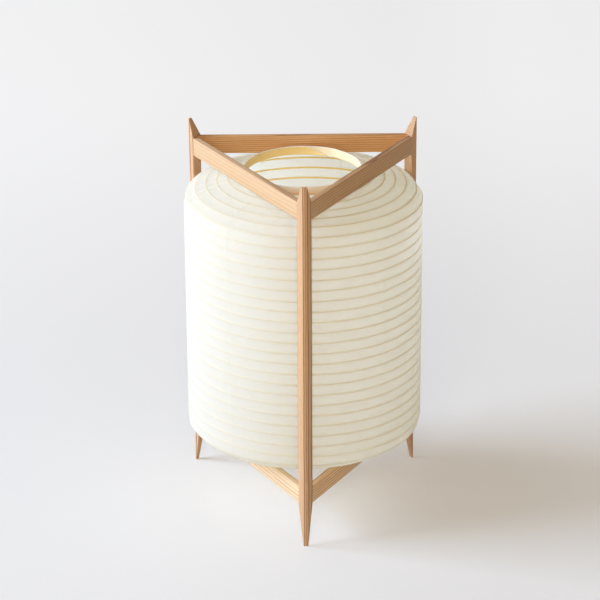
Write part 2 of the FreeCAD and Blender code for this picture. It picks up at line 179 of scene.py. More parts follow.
class AndonLantern(bpy.types.PropertyGroup):
    """Sizes and colours of the paper, hoop strip and mouth rings."""

    paper: colour_property("Paper", "Handmade paper", (251, 252, 250))
    paper_glow: colour_property("Paper glow", "Light that has come through the paper", (254, 254, 250))
    paper_fibre: colour_property("Paper fibre", "Long bark fibres in the paper", (234, 230, 216))
    hoop_trace: colour_property("Hoop trace", "Paper where the strip shows through", (240, 214, 120))
    paper_thickness: length_property("Paper thickness", "Thickness of one layer", 0.2)
    paper_sag: length_property("Paper sag", "How far the paper draws in between two turns of the strip", 0.2)
    paper_crease: length_property("Paper crease", "Height of the creases on the shoulders", 0.5)
    paper_lap: length_property("Paper lap", "Width by which one gore is pasted over the next", 3.2)
    paper_light: share_property("Paper light", "Share of the light let through", 0.7)
    bamboo: colour_property("Bamboo", "Split bamboo of the hoop strip", (251, 230, 168))
    bamboo_glow: colour_property("Bamboo glow", "Light that has come through the strip", (255, 239, 176))
    bamboo_pith: colour_property("Bamboo pith", "Inner side and edges of the mouth bands", (247, 229, 190))
    # Deeper ochre on a band's inner side, from its slanted end round the rear and left: painted shade where
    # that face turns away from the window
    bamboo_painted_shade: colour_property("Ripe bamboo", "Inner side near the slanted end of a band", (250, 220, 146))
    # Outer side of the bands: partly the bamboo's skin, partly painted shade and warm reflection from the
    # rails
    bamboo_skin_and_painted_shade: colour_property("Bamboo skin", "Outer side of the mouth bands", (234, 187, 126))
    hoop_width: length_property("Hoop width", "Width of the strip against the paper", 1.5)
    hoop_depth: length_property("Hoop depth", "Thickness of the strip", 1.1)
    hoop_waver: length_property("Hoop waver", "How far the strip strays from its even path", 0.1)


class AndonLight(bpy.types.PropertyGroup):
    """Sizes and colours of the lampholder and bulb."""

    zinc: colour_property("Zinc", "Plated steel of the bracket and its screws", (196, 198, 200))
    moulding: colour_property("Moulding", "White moulded lampholder body", (236, 234, 226))
    brass: colour_property("Brass", "Screw shell and spring contact", (214, 172, 96))
    nickel: colour_property("Nickel", "Plated cap of the bulb", (206, 204, 198))
    opal: colour_property("Opal", "Globe of the bulb", (244, 241, 233))
    thread_pitch: length_property("Thread pitch", "Rise of the bulb in one turn", 2.822)
    thread_depth: length_property("Thread depth", "Depth of the rolled thread", 0.5)


class AndonStudio(bpy.types.PropertyGroup):
    """Floor, lamps and camera."""

    floor: colour_property("Floor", "Seamless floor", (251, 252, 249))
    floor_evenness: share_property("Evenness", "How even the floor looks", 0.16)
    fill: colour_property("Fill colour", "Light from all round", (255, 225, 190))
    fill_strength: share_property("Fill strength", "Light from all round", 0.255)
    key: colour_property("Key colour", "Light from the window on the left", (213, 229, 255))
    key_power: power_property("Key power", "Light from the left", 390.0)
    key_size: length_property("Key size", "Side of the soft light on the left", 3100.0)
    room: colour_property("Room colour", "Weak light from the front", (255, 240, 222))
    room_power: power_property("Room power", "Light from the front", 66.0)
    lens: FloatProperty(name="Lens", description="Focal length in millimetres", default=165.41)


# Node trees written as plain sums

def sum_of(operation, reverse=False):
    """Method of a wire that adds a Math node for this operation with another wire or a number."""
    def method(wire, other):
        values = (other, wire) if reverse else (wire, other)
        return wire.nodes.math(operation, *values)
    return method


class Wire:
    """A socket of a node tree: sums on it add Math nodes to the tree."""

    def __init__(self, nodes, socket):
        self.nodes = nodes
        self.socket = socket

    __add__ = sum_of("ADD")
    __radd__ = sum_of("ADD", reverse=True)
    __sub__ = sum_of("SUBTRACT")
    __rsub__ = sum_of("SUBTRACT", reverse=True)
    __mul__ = sum_of("MULTIPLY")
    __rmul__ = sum_of("MULTIPLY", reverse=True)
    __truediv__ = sum_of("DIVIDE")
    __pow__ = sum_of("POWER")


class Nodes:
    """A node tree that grows one call at a time."""

    def __init__(self, tree):
        self.tree = tree

    def add(self, kind, settings=None, inputs=None, output=0):
        """New node of this kind: first its settings, then the values or wires of its sockets."""
        node = self.tree.nodes.new(kind)
        for name, value in (settings or {}).items():
            if name == "stops":
                self.set_stops(node.color_ramp, value)
            else:
                setattr(node, name, value)
        for name, value in (inputs or {}).items():
            self.feed(node.inputs[name], value)
        return Wire(self, node.outputs[output]) if node.outputs else node

    def set_stops(self, ramp, stops):
        while len(ramp.elements) < len(stops):
            ramp.elements.new(1.0)
        for element, (position, level) in zip(ramp.elements, stops):
            element.position = position
            element.color = (level, level, level, 1)

    def feed(self, socket, value):
        if isinstance(value, Wire):
            self.tree.links.new(value.socket, socket)
        elif socket.type == "RGBA":
            socket.default_value = (*value[:3], 1)
        else:
            socket.default_value = value

    def math(self, operation, *values):
        return self.add("ShaderNodeMath", {"operation": operation}, dict(enumerate(values)))


class Finish(Nodes):
    """One material, whose patterns are sums on its own places."""

    def __init__(self, name):
        self.material = bpy.data.materials.new(name)
        self.material.use_nodes = True
        super().__init__(self.material.node_tree)
        self.tree.nodes.clear()
        self.place = self.add("ShaderNodeTexCoord", output="Object")

    def turned(self, rows=Matrix.Identity(3)):
        """Places measured along these three directions from the lantern's axis, in millimetres."""
        turn = Matrix(rows)
        return self.add(
            "ShaderNodeMapping",
            {"vector_type": "POINT"},
            {
                "Vector": self.place,
                "Rotation": turn.to_euler(),
                "Scale": (1 / MM,) * 3,
                "Location": -(turn @ AXIS) / MM,
            },
        )

    def parts(self, vector):
        node = self.tree.nodes.new("ShaderNodeSeparateXYZ")
        self.feed(node.inputs[0], vector)
        return [Wire(self, socket) for socket in node.outputs]

    def vector(self, x, y, z):
        return self.add("ShaderNodeCombineXYZ", None, {0: x, 1: y, 2: z})

    def clouds(self, vector, scale=1.0, detail=2.0, roughness=0.5, distortion=0.0):
        inputs = {"Vector": vector, "Scale": scale, "Detail": detail, "Roughness": roughness}
        return self.add("ShaderNodeTexNoise", None, {**inputs, "Distortion": distortion})

    def ramp(self, value, *stops):
        return self.add("ShaderNodeValToRGB", {"stops": stops}, {0: value})

    def smooth(self, value, low, high):
        """Rises softly from 0 at low to 1 at high."""
        settings = {"interpolation_type": "SMOOTHSTEP"}
        inputs = {"Value": value, "From Min": low, "From Max": high}
        return self.add("ShaderNodeMapRange", settings, inputs)

    def mix(self, share, first, second):
        """Colour that goes from the first to the second with the share."""
        inputs = {0: share, 6: first, 7: second}
        return self.add("ShaderNodeMix", {"data_type": "RGBA"}, inputs, output=2)

    def own(self, attribute):
        """Value that the mesh carries under this name."""
        return self.add("ShaderNodeAttribute", {"attribute_name": attribute}, output="Fac")

    def bump(self, height, depth):
        """Normal of a surface that rises by depth times the height."""
        return self.add("ShaderNodeBump", None, {"Strength": 1.0, "Distance": depth, "Height": height})

    def principled(self, **sockets):
        inputs = {}
        for name, value in sockets.items():
            inputs[name.replace("_", " ").title().replace("Ior", "IOR")] = value
        return self.add("ShaderNodeBsdfPrincipled", None, inputs)

    def finished(self, shader):
        self.add("ShaderNodeOutputMaterial", None, {"Surface": shader})
        return self.material


# Finishes

def tinted(colour, *tones):
    """Colour times a tone for each of its channels, or times one for all."""
    return [min(channel * tone, 1) for channel, tone in zip(colour, tones * 3)]


def cypress(name, along, across, seed, ring_shift=0.0, wander=5.0, wide=1.0, contrast=1.0, tone=(1, 1, 1)):
    """Straight-grained cypress: rings stacked in the across direction, running along the piece."""
    wood = bpy.context.scene.andon_wood
    f = Finish(name)
    x, y, z = f.parts(f.turned((along, across, along.cross(across))))
    shift = seed * 37.0

    def grain(along_scale, across_scale, detail, roughness=0.5):
        """Clouds drawn out along the piece."""
        place = f.vector(x * along_scale + shift, y * across_scale, z * across_scale)
        return f.clouds(place, 1.0, detail, roughness)

    drift = grain(0.006, 0.03, 2.0) - 0.5
    swell = grain(0.02, 0.10, 1.0) - 0.5
    pith_distance = 150.0
    radius = f.math("SQRT", (y + pith_distance) ** 2.0 + z * z)
    phase = (radius + drift * wander + swell * 1.2) / (wood.ring_spacing / MM * wide) + ring_shift
    ring = f.math("FLOOR", phase)
    share = f.math("FRACT", phase)
    strength = f.add("ShaderNodeTexWhiteNoise", {"noise_dimensions": "1D"}, {"W": ring})
    stops = (0.0, 0.04), (0.4, 0.0), (0.76, 0.14), (0.87, 0.9), (0.96, 1.0), (1.0, 0.04)
    line = f.ramp(share, *stops)
    streak_line = f.clouds(f.vector(x * 0.05 + shift, ring * 3.7, z * 0.3), 1.0, 2.0)
    late = line * (0.45 + 0.55 * strength) * f.smooth(streak_line, 0.15, 0.4) * contrast
    fibre = grain(0.05, 3.2, 3.0, 0.6)
    streak = grain(0.018, 0.9, 2.0)
    fleck = f.smooth(grain(0.22, 4.5, 1.0), 0.68, 0.76)
    # The tone multiplies both wood colours; on the bottom rails it is painted light
    early = tinted(wood.early, *tone)
    pale = f.mix(streak, tinted(early, 0.93), tinted(early, 1.06))
    base = f.mix(late * 0.9, pale, tinted(wood.late, *tone))
    base = f.mix((fibre - 0.5) * 0.35 + 0.12, base, tinted(wood.late, 0.72))
    base = f.mix(fleck * 0.35, base, tinted(wood.late, 0.45))
    height = fibre * 0.5 + late * 0.35 - fleck * 0.3
    shader = f.principled(
        base_color=base,
        roughness=0.56 + fibre * 0.16 - late * 0.08,
        specular_ior_level=0.4,
        normal=f.bump(height, 0.06 * MM),
    )
    return f.finished(shader)


def bamboo(name, colour, coarse, skin=None, painted_shade=None):
    """Split bamboo bent round the lantern's axis. A band shows its skin outside, partly painted shade, and a
    deeper ochre from its slanted start: painted shade.
    """
    f = Finish(name)
    x, y, z = f.parts(f.turned())
    radius = f.math("SQRT", x * x + y * y)
    fibre = f.clouds(f.vector(radius * coarse, z * coarse, (x + y) * 0.02), 1.0, 3.0, 0.65)
    patch = f.clouds(f.vector(x * 0.05, y * 0.05, z * 0.4), 1.0, 2.0)
    base = f.mix(patch, tinted(colour, 0.9), tinted(colour, 1.06))
    stain = f.smooth(fibre, 0.5, 0.75) * 0.35
    if skin:
        gone = f.own("gone")
        rim = f.own("rim")
        skin_radius = (MOUTH_RADIUS + BAND_THICKNESS) / MM
        # Deeper ochre from the slanted start round the rear and left of the inner side: painted shade
        base = f.mix(f.smooth(gone, 0.55, 0.3) * (1.0 - rim), base, painted_shade)
        # Outside, the band takes the skin colour: partly the bamboo's skin, partly painted shade and warm
        # reflection from the rails
        outside = f.smooth(radius, skin_radius - 0.35, skin_radius - 0.15)
        base = f.mix(outside * (1.0 - rim), base, skin)
        base = f.mix(rim * 0.5, base, (1.0, 1.0, 1.0))
        stain = stain * (1.0 - 0.7 * rim)
    base = f.mix(stain, base, tinted(colour, 0.6))
    shader = f.principled(
        base_color=base,
        roughness=0.42 + fibre * 0.2,
        specular_ior_level=0.45,
        normal=f.bump(fibre, 0.08 * MM),
    )
    if not skin:
        light = bpy.context.scene.andon_lantern.bamboo_glow
        glow = f.add("ShaderNodeBsdfTranslucent", None, {"Color": light})
        glow_share = 0.7
        shader = f.add("ShaderNodeMixShader", None, {0: glow_share, 1: shader, 2: glow})
    return f.finished(shader)


def washi(name):
    """Handmade paper: cloudy pulp, long bark fibres, and the strip that shows through from behind."""
    lantern = bpy.context.scene.andon_lantern
    f = Finish(name)
    place = f.turned()
    pulp = f.clouds(place, 0.16, 4.0, 0.6)
    grit = f.clouds(place, 1.1, 3.0, 0.7)
    long_fibre = f.clouds(place, 0.13, 1.0, 0.4, 2.2)
    fine_fibre = f.clouds(place, 0.34, 1.0, 0.4, 2.8)
    strands = f.smooth(f.math("ABSOLUTE", long_fibre - 0.5), 0.008, 0.0)
    wisps = f.smooth(f.math("ABSOLUTE", fine_fibre - 0.47), 0.010, 0.0)
    fibres = f.math("MAXIMUM", strands, wisps * 0.7)
    away = f.own("from_hoop")
    pasted = f.own("pasted")
    trace = f.smooth(away, 0.85, 0.5)
    base = f.mix(f.smooth(pulp, 0.3, 0.7) * 0.6, lantern.paper, tinted(lantern.paper, 0.94))
    base = f.mix(f.smooth(grit, 0.42, 0.6) * 0.5, base, tinted(lantern.paper, 0.93))
    base = f.mix(fibres * 0.45, base, lantern.paper_fibre)
    base = f.mix(trace * 0.22, base, lantern.hoop_trace)
    ridge = f.smooth(away, 1.6, 0.2)
    height = pulp * 1.1 + grit * 0.5 + fibres * 0.3 + ridge * 0.8
    normal = f.bump(height, 0.22 * MM)
    surface = f.principled(base_color=base, roughness=0.88, specular_ior_level=0.18, normal=normal)
    glow = {"Color": lantern.paper_glow, "Normal": normal}
    through = f.add("ShaderNodeBsdfTranslucent", None, glow)
    share = lantern.paper_light - (pulp - 0.5) * 0.12 - fibres * 0.06 - trace * 0.25
    share = share + pasted * 0.08
    shader = f.add("ShaderNodeMixShader", None, {0: share, 1: surface, 2: through})
    return f.finished(shader)


def metal(name, colour, roughness, brushed):
    """Plated or bare sheet metal with fine rolling marks."""
    f = Finish(name)
    x, y, z = f.parts(f.turned())
    marks = f.clouds(f.vector(x * brushed[0], y * brushed[1], z * brushed[2]), 1.0, 3.0, 0.6)
    smudge = f.clouds(f.vector(x, y, z), 0.12, 2.0)
    base = f.mix(smudge * 0.5, colour, tinted(colour, 0.82))
    shader = f.principled(
        base_color=base,
        metallic=1.0,
        roughness=roughness + marks * 0.14 + smudge * 0.08,
        normal=f.bump(marks, 0.012 * MM),
    )
    return f.finished(shader)


def moulding(name, colour, roughness, coat=0.0):
    """Moulded plastic or glazed body with a faint mottle."""
    f = Finish(name)
    place = f.turned()
    mottle = f.clouds(place, 0.25, 3.0)
    skin = f.clouds(place, 4.0, 2.0)
    base = f.mix(mottle * 0.4, colour, tinted(colour, 0.95))
    shader = f.principled(
        base_color=base,
        roughness=roughness + skin * 0.06,
        coat_weight=coat,
        normal=f.bump(skin, 0.01 * MM),
    )
    return f.finished(shader)


# Meshes

def linked(name, data):
    """New object in the scene, for a mesh, a lamp or a camera."""
    result = bpy.data.objects.new(name, data)
    bpy.context.scene.collection.objects.link(result)
    return result


def piece(name, mesh, material, node, body="lamp"):
    """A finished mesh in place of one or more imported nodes, riding on their body."""
    result = linked(name, mesh)
    if not mesh.materials:
        mesh.materials.append(material)
    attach(result, body)
    nodes = (node,) if isinstance(node, str) else node
    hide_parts(*nodes)
    return result


def baked(holder):
    """Mesh of an object with its modifiers applied. The object goes."""
    bpy.context.view_layer.update()
    evaluated = holder.evaluated_get(bpy.context.evaluated_depsgraph_get())
    mesh = bpy.data.meshes.new_from_object(evaluated)
    bpy.data.objects.remove(holder)
    return mesh


def merged(name, meshes):
    """One mesh in place of several."""
    work = bmesh.new()
    for mesh in meshes:
        work.from_mesh(mesh)
        bpy.data.meshes.remove(mesh)
    result = bpy.data.meshes.new(name)
    work.to_mesh(result)
    work.free()
    return result


def new_tree(name, carried, made, kinds):
    """Geometry tree named after what it carries in and what it makes, with a socket for each value."""
    tree = bpy.data.node_groups.new(name, "GeometryNodeTree")
    tree.interface.new_socket(carried, in_out="INPUT", socket_type="NodeSocketGeometry")
    sockets = {}
    for value, kind in kinds.items():
        socket = tree.interface.new_socket(value, in_out="INPUT", socket_type="NodeSocket" + kind)
        sockets[value] = socket.identifier
    tree.interface.new_socket(made, in_out="OUTPUT", socket_type="NodeSocketGeometry")
    n = Nodes(tree)
    entry = tree.nodes.new("NodeGroupInput")
    given = {value: Wire(n, entry.outputs[value]) for value in (carried, *sockets)}
    return n, sockets, given


def formed(mesh, tree, sockets, values):
    """Mesh that a geometry tree makes from this one with these values."""
    holder = linked("holder", mesh)
    forming = holder.modifiers.new("forming", "NODES")
    forming.node_group = tree
    for name, value in values.items():
        forming[sockets[name]] = value
    return baked(holder)


def smoothed(mesh, angle):
    """Shades the mesh smooth, but for edges sharper than this angle."""
    mesh.polygons.foreach_set("use_smooth", [True] * len(mesh.polygons))
    mesh.set_sharp_from_angle(angle=math.radians(angle))
    return mesh


def softened(node, width):
    """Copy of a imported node's mesh with softened edges."""
    work = bmesh.new()
    work.from_mesh(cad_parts[node].data)
    bmesh.ops.remove_doubles(work, verts=work.verts, dist=MERGE_REACH)
    turn = math.radians(FLAT_TURN)
    bmesh.ops.dissolve_limit(work, angle_limit=turn, verts=work.verts, edges=work.edges)
    mesh = bpy.data.meshes.new(node)
    work.to_mesh(mesh)
    work.free()
    holder = linked("holder", mesh)
    bevel = holder.modifiers.new("edges", "BEVEL")
    bevel.width = width
    bevel.segments = 2
    bevel.limit_method = "ANGLE"
    bevel.angle_limit = math.radians(40.0)
    bevel.use_clamp_overlap = True
    return smoothed(baked(holder), 50.0)


def mesh_from_grid(name, rows, closed_across=False, closed_along=False):
    """Mesh over a grid of points. Closed directions join their last line to their first."""
    width = len(rows[0])
    points = [point for row in rows for point in row]
    faces = []
    for i in range(len(rows) if closed_along else len(rows) - 1):
        for j in range(width if closed_across else width - 1):
            k = (j + 1) % width
            below = (i + 1) % len(rows)
            faces.append((i * width + j, i * width + k, below * width + k, below * width + j))
    mesh = bpy.data.meshes.new(name)
    mesh.from_pydata(points, [], faces)
    return mesh


def carry(mesh, name, values):
    """Writes one value for each point of the mesh, for a material or a geometry tree to read."""
    mesh.attributes.new(name, "FLOAT", "POINT").data.foreach_set("value", values)


def outward(mesh):
    """Turns all faces outwards and closes doubled points."""
    work = bmesh.new()
    work.from_mesh(mesh)
    bmesh.ops.remove_doubles(work, verts=work.verts, dist=MERGE_REACH)
    bmesh.ops.recalc_face_normals(work, faces=work.faces)
    work.to_mesh(mesh)
    work.free()
    return mesh


def round_point(radius, angle, height):
    """Point at this radius and angle, in degrees, about the lantern's axis."""
    turn = math.radians(angle)
    return Vector((radius * math.cos(turn), AXIS_Y + radius * math.sin(turn), height))


def rounded(outline, reach, steps):
    """Outline of (radius, height) points with its inner corners rounded by this reach."""
    result = [outline[0]]
    for before, here, after in zip(outline, outline[1:], outline[2:]):
        middle = Vector(here)
        arms = [Vector(before) - middle, Vector(after) - middle]
        cut = min(reach, arms[0].length / 2.01, arms[1].length / 2.01)
        start = middle + arms[0].normalized() * cut
        end = middle + arms[1].normalized() * cut
        for step in range(steps + 1):
            share = step / steps
            first = start.lerp(middle, share)
            result.append(tuple(first.lerp(middle.lerp(end, share), share)))
    result.append(outline[-1])
    return result


def lathe(name, outline, count):
    """Closed mesh turned about the axis from an outline of (radius, height) points."""
    rows = []
    for radius, height in outline:
        rows.append([round_point(radius, FULL_TURN * index / count, height) for index in range(count)])
    closed = outline[0] == outline[-1]
    mesh = mesh_from_grid(name, rows[:-1] if closed else rows, closed_across=True, closed_along=closed)
    return outward(mesh)


# Frame

def grain_directions(angle, tilt):
    """Directions along and across a rail that faces this way, with the grain tilted in its plane."""
    turn = math.radians(angle)
    level = Vector((-math.sin(turn), math.cos(turn), 0))
    along = level * math.cos(tilt) + Vector((0, 0, 1)) * math.sin(tilt)
    across = Vector((0, 0, 1)) * math.cos(tilt) - level * math.sin(tilt)
    return along, across


class ANDON_OT_posts(bpy.types.Operator):
    """Plane and finish the three posts"""

    bl_idname = "andon.posts"
    bl_label = "Posts"

    def execute(self, context):
        chamfer = context.scene.andon_wood.chamfer
        for seed, (node, angle) in enumerate(POSTS.items(), start=1):
            turn = math.radians(angle + POST_RING_TURN)
            across = Vector((math.cos(turn), math.sin(turn), 0))
            material = cypress(node + "_cypress", Vector((0, 0, 1)), across, seed, **POST_GRAIN)
            piece(node + "_planed", softened(node, chamfer), material, node)
        return {"FINISHED"}


class ANDON_OT_rails(bpy.types.Operator):
    """Plane and finish the six rails and the lamp bar"""

    bl_idname = "andon.rails"
    bl_label = "Rails"

    def execute(self, context):
        chamfer = context.scene.andon_wood.chamfer
        seed = len(POSTS)
        for level in ("top", "bottom"):
            for side, angle in RAIL_SIDES.items():
                seed += 1
                node = f"{level}_rail_{side}"
                along, across = grain_directions(angle, RAIL_GRAIN_TILT * (-1) ** seed)
                material = cypress(node + "_cypress", along, across, seed, **RAIL_GRAIN[node])
                piece(node + "_planed", softened(node, chamfer), material, node)
        bar = cypress("lamp_bar_cypress", Vector((1, 0, 0)), Vector((0, 1, 0)), seed + 1)
        piece("lamp_bar_planed", softened("lamp_bar", chamfer), bar, "lamp_bar")
        return {"FINISHED"}


# Lantern

class Outline:
    """Outer outline of the paper from mouth to mouth, and the strip's places along it."""

    def __init__(self):
        top = [Vector((MOUTH_RADIUS, PAPER_HIGH.z))]
        for radius_share, height_share in zip(SHOULDER_RADIUS_SHARES, SHOULDER_HEIGHT_SHARES):
            top.append(Vector((SHADE_RADIUS * radius_share, DRUM_TOP + SHOULDER_RISE * height_share)))
        top.append(Vector((SHADE_RADIUS, DRUM_TOP)))
        bottom = [Vector((point.x, 2 * SHADE_MIDDLE - point.y)) for point in reversed(top)]
        corners = [tuple(point) for point in top + bottom]
        bent = rounded(corners, SHOULDER_BEND, SHOULDER_BEND_STEPS)
        self.points = [Vector(point) for point in bent]
        self.lengths = [0.0]
        for start, end in zip(self.points, self.points[1:]):
            self.lengths.append(self.lengths[-1] + (end - start).length)
        self.total = self.lengths[-1]
        self.body = top[-1].y - bottom[0].y
        self.shoulder = (self.total - self.body) / 2
        self.edge = bpy.context.scene.andon_lantern.hoop_width / 2

    def at(self, length):
        """Point at this length from the top mouth."""
        length = min(max(length, 0.0), self.total)
        index = min(bisect.bisect_left(self.lengths, length), len(self.points) - 1)
        index = max(index, 1)
        before = self.lengths[index - 1]
        share = (length - before) / (self.lengths[index] - before)
        return self.points[index - 1].lerp(self.points[index], share)

    def inwards(self, length):
        """Direction from the paper into the lantern at this length."""
        step = 1.0 * MM
        along = (self.at(length + step) - self.at(length - step)).normalized()
        return Vector((along.y, -along.x))

    def strip_length(self, turn):
        """Length that the strip has reached after this many turns."""
        pitch = (self.shoulder - self.edge) / SHOULDER_TURN_COUNT
        if turn < SHOULDER_TURN_COUNT:
            return self.edge + pitch * turn
        turn -= SHOULDER_TURN_COUNT
        if turn < BODY_TURN_COUNT:
            return self.shoulder + self.body * turn / BODY_TURN_COUNT
        length = self.shoulder + self.body + pitch * (turn - BODY_TURN_COUNT)
        return min(length, self.total - self.edge)


def paper_rows(outline, turn):
    """Rows down one meridian of the paper: place, inward direction, slack and distance to the strip."""
    steps = 4
    full_slack_span = 10 * MM
    crossings = math.ceil(STRIP_TURN_COUNT)
    lengths = [0.0]
    lengths += [outline.strip_length(turn + count) for count in range(crossings)]
    lengths.append(outline.total)
    rows = []
    for index, (first, last) in enumerate(zip(lengths, lengths[1:])):
        start = outline.at(first)
        end = outline.at(last)
        span = end - start
        inwards = outline.inwards((first + last) / 2)
        at_top = index == 0
        at_bottom = index == len(lengths) - 2
        for step in range(steps + (1 if at_bottom else 0)):
            share = step / steps
            to_start = span.length * (1 if at_top else share)
            to_end = span.length * (1 if at_bottom else 1 - share)
            slack = math.sin(math.pi * share) ** 2 * min(span.length / full_slack_span, 1)
            rows.append((start + span * share, inwards, slack, min(to_start, to_end)))
    return rows


def gore_sheet(outline, number):
    """One gore as a bare sheet: pasted down at its start, lapped over the next gore at its end."""
    lantern = bpy.context.scene.andon_lantern
    sweep = FULL_TURN / GORE_COUNT
    columns = 26
    rise = lantern.paper_thickness * 1.6
    lap = math.degrees(lantern.paper_lap / SHADE_RADIUS)
    clear = lap * 1.3
    places = [(0.0, 0.0, 1.0), (lap * 0.8, 0.0, 1.0)]
    places += [(clear + (sweep - clear) * index / columns, 0.0, 0.0) for index in range(columns)]
    lap_shares = ((0.1, 1.0), (0.5, 0.85), (1.0, 0.66))
    places += [(sweep + lap * along, rise * up, 1.0) for along, up in lap_shares]
    lines = []
    distances = []
    pasted = []
    for angle, lift, paste in places:
        gone = sweep * number + angle
        turn = math.radians(HOOP_START_ANGLE + gone)
        out = Vector((math.cos(turn), math.sin(turn), 0))
        line = []
        for place, inwards, slack, distance in paper_rows(outline, gone / FULL_TURN):
            steep = abs(inwards.x)
            crease = noise.noise(Vector((out.x * 14, out.y * 14, place.y / MM * 0.02)))
            crease += 0.6 * noise.noise(Vector((out.x * 31, out.y * 31, place.y / MM * 0.09)))
            ripple = crease * lantern.paper_crease * (1.0 - 0.9 * steep) * slack
            push = inwards * (lantern.paper_sag * slack - lift - ripple)
            here = place + push
            line.append(out * here.x + Vector((0, AXIS_Y, here.y)))
            distances.append(distance / MM)
            pasted.append(paste)
        lines.append(line)
    mesh = mesh_from_grid("gore", lines)
    carry(mesh, "from_hoop", distances)
    carry(mesh, "pasted", pasted)
    mesh.flip_normals()
    return mesh


class ANDON_OT_paper(bpy.types.Operator):
    """Paste the nine paper gores over the hoop strip"""

    bl_idname = "andon.paper"
    bl_label = "Paper"

    def execute(self, context):
        lantern = context.scene.andon_lantern
        outline = Outline()
        gores = []
        for number in range(GORE_COUNT):
            holder = linked("holder", gore_sheet(outline, number))
            wall = holder.modifiers.new("thickness", "SOLIDIFY")
            wall.thickness = lantern.paper_thickness
            wall.offset = -1.0
            wall.use_even_offset = True
            gores.append(baked(holder))
        paper = smoothed(merged("paper", gores), 60.0)
        piece("paper_gores", paper, washi("handmade_paper"), "shade_paper")
        return {"FINISHED"}


def strip_tree():
    """Geometry nodes that sweep a split bamboo strip along a path."""
    kinds = {"Width": "Float", "Depth": "Float", "Waver": "Float", "Seed": "Int", "Bamboo": "Material"}
    n, sockets, given = new_tree("bamboo_strip", "Path", "Strip", kinds)
    lean = n.add("GeometryNodeInputNamedAttribute", {"data_type": "FLOAT"}, {"Name": "lean"})
    path = n.add("GeometryNodeMeshToCurve", None, {"Mesh": given["Path"]})
    path = n.add("GeometryNodeSetCurveNormal", {"mode": "Z_UP"}, {"Curve": path})
    path = n.add("GeometryNodeSetCurveTilt", None, {"Curve": path, "Tilt": lean})
    section = {"Width": given["Depth"], "Height": given["Width"]}
    section = n.add("GeometryNodeCurvePrimitiveQuadrilateral", None, section)
    rounding = {"Curve": section, "Radius": given["Depth"] * 0.25}
    section = n.add("GeometryNodeFilletCurve", {"mode": "POLY"}, rounding)
    sweep = {"Curve": path, "Profile Curve": section, "Fill Caps": True}
    strip = n.add("GeometryNodeCurveToMesh", None, sweep)
    wander = n.add(
        "ShaderNodeTexNoise",
        {"noise_dimensions": "4D"},
        {"W": given["Seed"] * 1.7, "Scale": 26.0, "Detail": 1.0},
        output=1,
    )
    stray = n.add("ShaderNodeVectorMath", {"operation": "SUBTRACT"}, {0: wander, 1: (0.5, 0.5, 0.5)})
    reach = {0: stray, "Scale": given["Waver"] * 2.0}
    stray = n.add("ShaderNodeVectorMath", {"operation": "SCALE"}, reach)
    strip = n.add("GeometryNodeSetPosition", None, {"Geometry": strip, "Offset": stray})
    strip = n.add("GeometryNodeRealizeInstances", None, {"Geometry": strip})
    strip = n.add("GeometryNodeSetMaterial", None, {"Geometry": strip, "Material": given["Bamboo"]})
    n.add("NodeGroupOutput", None, {"Strip": strip})
    return n.tree, sockets


def strip_path(outline, depth):
    """Middle line of the hoop strip at this depth under the paper, with its lean at each point."""
    step = 3.0
    points = []
    leans = []
    for index in range(round(STRIP_TURN_COUNT * FULL_TURN / step) + 1):
        gone = step * index
        length = outline.strip_length(gone / FULL_TURN)
        inwards = outline.inwards(length)
        place = outline.at(length) + inwards * depth
        points.append(round_point(place.x, HOOP_START_ANGLE + gone, place.y))
        leans.append(math.atan2(inwards.y, -inwards.x))
    mesh = bpy.data.meshes.new("strip_path")
    mesh.from_pydata(points, [(index, index + 1) for index in range(len(points) - 1)], [])
    carry(mesh, "lean", leans)
    return mesh


class ANDON_OT_hoop_strip(bpy.types.Operator):
    """Wind the long bamboo hoop strip from mouth to mouth"""

    bl_idname = "andon.hoop_strip"
    bl_label = "Hoop strip"

    def execute(self, context):
        lantern = context.scene.andon_lantern
        tree, sockets = strip_tree()
        material = bamboo("hoop_bamboo", lantern.bamboo, 1.6)
        depth = lantern.paper_thickness * 1.2 + lantern.hoop_depth / 2 + lantern.hoop_waver / 2
        path = strip_path(Outline(), depth)
        values = {
            "Width": lantern.hoop_width,
            "Depth": lantern.hoop_depth,
            "Waver": lantern.hoop_waver,
            "Seed": 7,
            "Bamboo": material,
        }
        strip = smoothed(outward(formed(path, tree, sockets, values)), 50.0)
        piece("hoop_strip", strip, material, "hoop_spiral")
        return {"FINISHED"}


